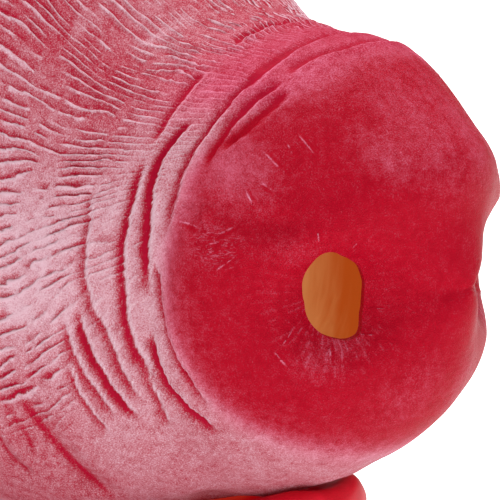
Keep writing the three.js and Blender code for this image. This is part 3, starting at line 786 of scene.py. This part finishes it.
# Bare latex inside and at the cut edges, painted as lit tan on one side and as shaded orange on the other,
# with a painted glow standing in for the light that passes through it
bareLatexLook = {
    "litTan": srgb(206, 160, 100), "shadeOrange": srgb(178, 92, 30), "mouthRed": srgb(190, 14, 14), "glow": 0.4,
    "mouthTop": 0.118, "mouthLow": 0.104, "tanFrom": 0.093, "tanTo": 0.11, "shareX": 0.643, "shareY": 0.766,
    "streaks": 260.0, "stretch": (1, 1, 0.2), "sway": 0.009, "roughness": 0.55, "specular": 0.15,
}


def makeBareLatex():
    made, w, place = newMaterial("bareLatex")
    look = bareLatexLook
    stretched = w.node("ShaderNodeVectorMath", {"operation": "MULTIPLY"}, {0: place, 1: look["stretch"]})
    drift = w.noise(stretched, look["streaks"], 2.0) - 0.5
    x, y, z = w.split(place)
    outer = x * look["shareX"] - y * look["shareY"] + drift * look["sway"]  # painted light and shade: paler and lit towards the mask's right, orange and shaded away from it
    colour = outer.between(look["tanFrom"], look["tanTo"]).blend(look["litTan"], look["shadeOrange"])
    colour = z.between(look["mouthLow"], look["mouthTop"]).blend(look["mouthRed"], colour)
    # the glow is painted light: the latex shines though it is no lamp
    w.surface(colour, look["roughness"], look, glow=colour)
    return made


# Red latex of the tongue and the mouth's cut edges, with a painted glow that brightens it in the snout's
# shade
redLatexLook = {
    "red": srgb(208, 14, 40), "dark": srgb(188, 8, 30), "specks": 1800, "blotches": 110.0, "speckShare": 0.3,
    "blotchShare": 0.7, "spread": (0.35, 0.65), "grain": 0.2, "grainDeep": 0.0002, "roughness": 0.42,
    "speckRough": 0.1, "specular": 0.18, "glow": 0.1,
}


def makeRedLatex():
    made, w, place = newMaterial("redLatex")
    look = redLatexLook
    speck, blotch = w.noise(place, look["specks"], 2.0), w.noise(place, look["blotches"], 3.0)
    mixed = blotch * look["blotchShare"] + speck * look["speckShare"]
    colour = mixed.between(*look["spread"]).blend(look["dark"], look["red"])
    w.surface(colour, look["roughness"] + speck * look["speckRough"], look, speck, glow=colour)
    return made


paintedSkin, bareLatex, redLatex = makeSkinPaint(), makeBareLatex(), makeRedLatex()
tree = reliefTree(paintedSkin)
print("materials made")

rings, paint = headRings(head["zones"])
shell = meshFromRings("maskShell", rings, paint, paintedSkin)
addRelief(shell, tree)
print("head skin", len(shell.data.vertices), "points")

# Lower jaw and tongue sections, forward from the throat
blobColumns = "forward half lowUp highUp full".split()
jawRows = {
    "root": [24, 44, 16, 98, 2.2], "throat": [52, 51, 22, 102, 2.2], "jowl": [76, 53, 36, 107, 2.3],
    "jaw": [100, 44, 50.5, 98, 2.1], "lip": [119, 36, 61.5, 98, 2.15], "chin": [130, 28, 69.5, 97, 2.2],
    "front": [135.5, 15, 77, 94.5, 2.1], "tip": [137, 2, 84, 88, 2.0],
}
tongueRows = {
    "root": [90, 12, 80, 87, 2.0], "middle": [106, 19, 80.5, 92.2, 2.1], "lip": [122, 21, 82.6, 95.2, 2.1],
    "over": [132.5, 20.5, 84.35, 98.4, 2.1], "curl": [139.5, 17, 86, 100.9, 2.1],
    "bend": [143.8, 10.5, 88.5, 100.6, 2.0], "tip": [146, 2, 93, 96.5, 2.0],
}
jaw = {"sides": 72, "rings": 64, "innerSides": 48, "innerRings": 40, "dust": 0.62, "wrinkle": 0.2}
mouth = {"half": 32, "corner": 103, "low": 84, "top": 112, "from": 98, "to": 152, "bow": 3, "steps": 40}
tongue = {
    "sides": 48, "rings": 60, "groove": 2.2, "grooveWide": 9.0, "edge": 2.4, "edgeAt": 0.7, "edgeWide": 0.3,
}
thinnest = 0.6  # mm, half of the smallest section


def blobRings(rows, sides, count, inset=0.0, dent=None):
    last = len(rows) - 1
    rings = []
    for i in range(count + 1):
        s = sectionAt(rows, blobColumns, np.array(i / count * last))
        forward = s["forward"] + inset * (1 - 2 * i / count)
        middle = (s["lowUp"] + s["highUp"]) / 2
        tall = max((s["highUp"] - s["lowUp"]) / 2 - inset, thinnest)
        half = max(s["half"] - inset, thinnest)
        turn = np.arange(sides) / sides * 2 * math.pi
        x = half * signedPower(np.cos(turn), 2 / s["full"])
        up = middle + tall * signedPower(np.sin(turn), 2 / s["full"])
        if dent:
            top = (np.sin(turn) > 0) * math.sin(math.pi * i / count) ** 2
            edges = bell(np.abs(x) / half - dent["edgeAt"], dent["edgeWide"])
            up = up + (dent["edge"] * edges - dent["groove"] * bell(x, dent["grooveWide"])) * top
        rings.append(np.stack([x, np.full(sides, head["boxCentre"] - forward), up], -1))
    return rings


jawSkin = blobRings(jawRows, jaw["sides"], jaw["rings"])
jawPlaces = np.concatenate(jawSkin)
jawPaint = plainMarks(jawPlaces[:, [2, 1, 0]], dust=jaw["dust"], wrinkle=jaw["wrinkle"])
jawPiece = meshFromRings("jaw", jawSkin, jawPaint, paintedSkin)
addRelief(jawPiece, tree)
places = np.concatenate([readPoints(shell.data), readPoints(jawPiece.data)])
both = [readPaint(shell.data), readPaint(jawPiece.data)]
skinMarks = {key: np.concatenate([both[0][key], both[1][key]]) for key in both[1]}

shares = np.linspace(-1, 1, mouth["steps"] + 1)
lowLip = mouth["low"] + (mouth["corner"] - mouth["low"]) * np.abs(shares) ** mouth["bow"]
outline = [(share * mouth["half"], up) for share, up in zip(shares, lowLip)]
outline += [(mouth["half"], mouth["top"]), (-mouth["half"], mouth["top"])]
mouthRings = [np.array([(x, head["boxCentre"] - forward, up) for x, up in outline])
              for forward in (mouth["from"], mouth["to"])]
mouthTool = meshFromRings("mouth", mouthRings, None, redLatex)
combine(mouthTool, shell, "DIFFERENCE", keepTool=True)


def holeTool(name, feature, outline, deep, level, material):  # a bar across the skin, of the given outline
    spot, side, up, normal = holeAxes(feature, level)
    rings = [spot + outline[:, :1] * side + outline[:, 1:] * up + normal * reach for reach in (-deep, deep)]
    return [meshFromRings(name, [r * [flip, 1, 1] for r in rings], None, material) for flip in (1, -1)]


turn = np.arange(nostril["sides"]) / nostril["sides"] * 2 * math.pi
radius = byAngle(nostril["radius"], np.degrees(turn))
radius = (np.roll(radius, 1) + 2 * radius + np.roll(radius, -1)) / 4  # rounds the table's corners
oval = np.stack([radius * np.cos(turn), radius * np.sin(turn)], -1)
u = np.linspace(-1, 1, eye["sides"] // 2 + 1)
almond = np.concatenate([np.stack([u, 1 - u ** 2], -1)[:-1], np.stack([-u, u ** 2 - 1], -1)[:-1]])
almond = almond * [eye["halfWide"], eye["halfHigh"]]
holes = holeTool("nostril", nostril, oval, 2 * nostril["reach"], True, paintedSkin)
holes += holeTool("eyeHole", eye, almond, eye["reach"], False, bareLatex)

hollowRings, _ = headRings(head["innerZones"], inset=head["wall"])
hollow = meshFromRings("hollow", hollowRings, None, bareLatex)
jawHollowRings = blobRings(jawRows, jaw["innerSides"], jaw["innerRings"], inset=head["wall"])
jawHollow = meshFromRings("jawHollow", jawHollowRings, None, bareLatex)
combine(shell, jawPiece, "UNION")
for tool in [hollow, jawHollow, mouthTool] + holes:
    combine(shell, tool, "DIFFERENCE")
writePaint(shell.data, places, skinMarks)
shell.data.shade_smooth()
shell.data.set_sharp_from_angle(angle=math.radians(head["sharp"]))
triangles = sum(len(p.vertices) - 2 for p in shell.data.polygons)
print("mask shell", triangles, "triangles", [m.name for m in shell.data.materials])

tongueRings = blobRings(tongueRows, tongue["sides"], tongue["rings"], dent=tongue)
tonguePiece = meshFromRings("tongueLatex", tongueRings, None, redLatex)
tonguePiece.data.shade_smooth()
print("tongue made")

# Ears: cupped leaves whose roots follow the head
ear = {
    "row": 5.55, "angle": 54, "sunk": 9, "length": 116, "half": 41, "cup": 20, "thick": 2.8, "bend": 30,
    "lean": (-0.55, -0.1, 0.83), "facing": (-0.42, -0.9, 0), "widestAt": 0.34, "rootShare": 0.74,
    "point": 1.5, "blunt": 0.05, "edgeFrom": 0.9, "edgeRound": 60, "edgeLeast": 0.15, "clear": 0.2,
    "steps": 80, "across": 56, "dust": 0.55, "cupLess": 0.3, "edgeMore": 0.2, "edgePower": 6,
    "backMore": 0.1, "wrinkle": 0.5, "skinSide": 10.0,
}


def earRings():
    root = headBase(np.array(ear["row"]), math.radians(ear["angle"]))
    along = unit(np.array(ear["lean"]))
    facing = unit(np.array(ear["facing"]) - np.dot(ear["facing"], along) * along)
    across = np.cross(along, facing)
    root = root - along * ear["sunk"]
    v = np.sin(np.linspace(-1, 1, ear["across"] + 1) * math.pi / 2)
    beyond = (np.abs(v) - ear["edgeFrom"]).clip(0)
    edge = ear["thick"] / 2 * np.sqrt(np.maximum(1 - beyond ** 2 * ear["edgeRound"], ear["edgeLeast"]))
    front = ear["dust"] - ear["cupLess"] * (1 - np.abs(v)) + ear["edgeMore"] * np.abs(v) ** ear["edgePower"]
    dust = np.concatenate([front, np.full(len(v), ear["dust"] + ear["backMore"])])
    rings, skins = [], []
    for i in range(ear["steps"] + 1):
        u = i / ear["steps"]
        opened = math.sin(min(u / ear["widestAt"], 1) * math.pi / 2)
        grown = ear["rootShare"] + (1 - ear["rootShare"]) * opened
        past = max((u - ear["widestAt"]) / (1 - ear["widestAt"]), 0)
        half = ear["half"] * grown * max(1 - past ** ear["point"], ear["blunt"])
        cup = ear["cup"] * v ** 2 * half / ear["half"]
        line = root + u * ear["length"] * along + np.outer(v * half, across)
        line = line + np.outer(cup + ear["bend"] * u * u, facing)
        rings.append(np.concatenate([line + np.outer(edge, facing), (line - np.outer(edge, facing))[::-1]]))
        skin = np.stack([v * half, np.full(len(v), u * ear["length"]), np.full(len(v), ear["skinSide"])], -1)
        skins.append(np.concatenate([skin, skin[::-1] * [1, 1, -1]]))
    marks = {"dust": np.tile(dust, len(rings)), "wrinkle": ear["wrinkle"], "lines": 1.0}
    return rings, plainMarks(np.concatenate(skins), **marks)


plainRings, _ = headRings(head["innerZones"], inset=-ear["clear"])
plainHead = meshFromRings("plainHead", plainRings, None, paintedSkin)
leafRings, marks = earRings()
ears = []
for name, flip in (("earRight", 1), ("earLeft", -1)):
    leaf = meshFromRings(name, leafRings, marks, paintedSkin)
    addRelief(leaf, tree, seed=relief["seed"] + flip)
    leafPlaces, leafMarks = readPoints(leaf.data), readPaint(leaf.data)
    combine(leaf, plainHead, "DIFFERENCE", keepTool=True)
    writePaint(leaf.data, leafPlaces, leafMarks)
    if flip < 0:
        for vertex in leaf.data.vertices:
            vertex.co.x = -vertex.co.x
        leaf.data.flip_normals()
    leaf.data.shade_smooth()
    leaf.data.set_sharp_from_angle(angle=math.radians(head["sharp"]))
    ears.append(leaf)
bpy.data.objects.remove(plainHead)
print("ears made")

for piece, node, slot in (
        (shell, "mask_shell", "painted_skin"), (ears[0], "ear_right", "painted_skin"),
        (ears[1], "ear_left", "painted_skin"), (tonguePiece, "tongue", "red_latex")):
    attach(piece, "root")
    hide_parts(node)

# Floor, lights and camera
stage = {
    "target": (-0.03516, -0.13726, 0.16669), "eye": (-0.74954, -0.73669, 0.34796),
    "lens": 282.6, "sensor": 36, "clip": (0.01, 200), "world": 0.22,
    "floorSize": 60, "floorDark": (0.9, 0.9, 0.9, 1), "floorPale": (0.93, 0.93, 0.93, 1), "tones": 1.5,
    "toneSpread": (0.3, 0.7), "roughness": 0.9, "specular": 0.1, "glow": 0.95, "glowSpan": (0.12, 0.42),
    "lights": {  # right, up and towards the camera from the target in m, size, watts
        "key": (-0.35, 1.0, 1.2, 1.1, 9.2), "fill": (1.1, 0.5, 0.9, 1.2, 2.5),
        "back": (0.1, 1.6, -0.5, 1.4, 28),
    },
}
floorMaterial, w, floorPlace = newMaterial("paleFloor")
tone = w.noise(floorPlace, stage["tones"], 2.0).between(*stage["toneSpread"])
away = w.node("ShaderNodeVectorMath", {"operation": "LENGTH"}, {0: floorPlace}, "Value")
glow = away.between(*stage["glowSpan"]).blend((0, 0, 0, 1), (1, 1, 1, 1))  # no light from close below
w.surface(tone.blend(stage["floorDark"], stage["floorPale"]), stage["roughness"], stage, glow=glow)
reach = stage["floorSize"] / 2
corners = [(-reach, -reach, 0), (reach, -reach, 0), (reach, reach, 0), (-reach, reach, 0)]
floorMesh = bpy.data.meshes.new("floor")
floorMesh.from_pydata(corners, [], [(0, 1, 2, 3)])
floorMesh.materials.append(floorMaterial)
floor = addObject("floor", floorMesh)

target, eyePlace = Vector(stage["target"]), Vector(stage["eye"])
towards = (eyePlace - target).normalized()
right = Vector((0, 0, 1)).cross(towards).normalized()
cameraData = bpy.data.cameras.new("camera")
cameraData.lens, cameraData.sensor_width = stage["lens"], stage["sensor"]
cameraData.clip_start, cameraData.clip_end = stage["clip"]
camera = addObject("camera", cameraData)
camera.location = eyePlace
camera.rotation_euler = towards.to_track_quat("Z", "Y").to_euler()
scene.camera = camera
for name, (across, rise, near, size, watts) in stage["lights"].items():
    lampData = bpy.data.lights.new(name, "AREA")
    lampData.shape, lampData.size, lampData.energy = "DISK", size, watts
    lamp = addObject(name, lampData)
    lamp.location = target + right * across + Vector((0, 0, 1)) * rise + towards * near
    lamp.rotation_euler = (lamp.location - target).to_track_quat("Z", "Y").to_euler()
world = bpy.data.worlds.new("studio")
world.use_nodes = True
world.node_tree.nodes["Background"].inputs["Color"].default_value = (1, 1, 1, 1)
world.node_tree.nodes["Background"].inputs["Strength"].default_value = stage["world"]
scene.world = world
scene.view_settings.view_transform = "Standard"
print("stage set")
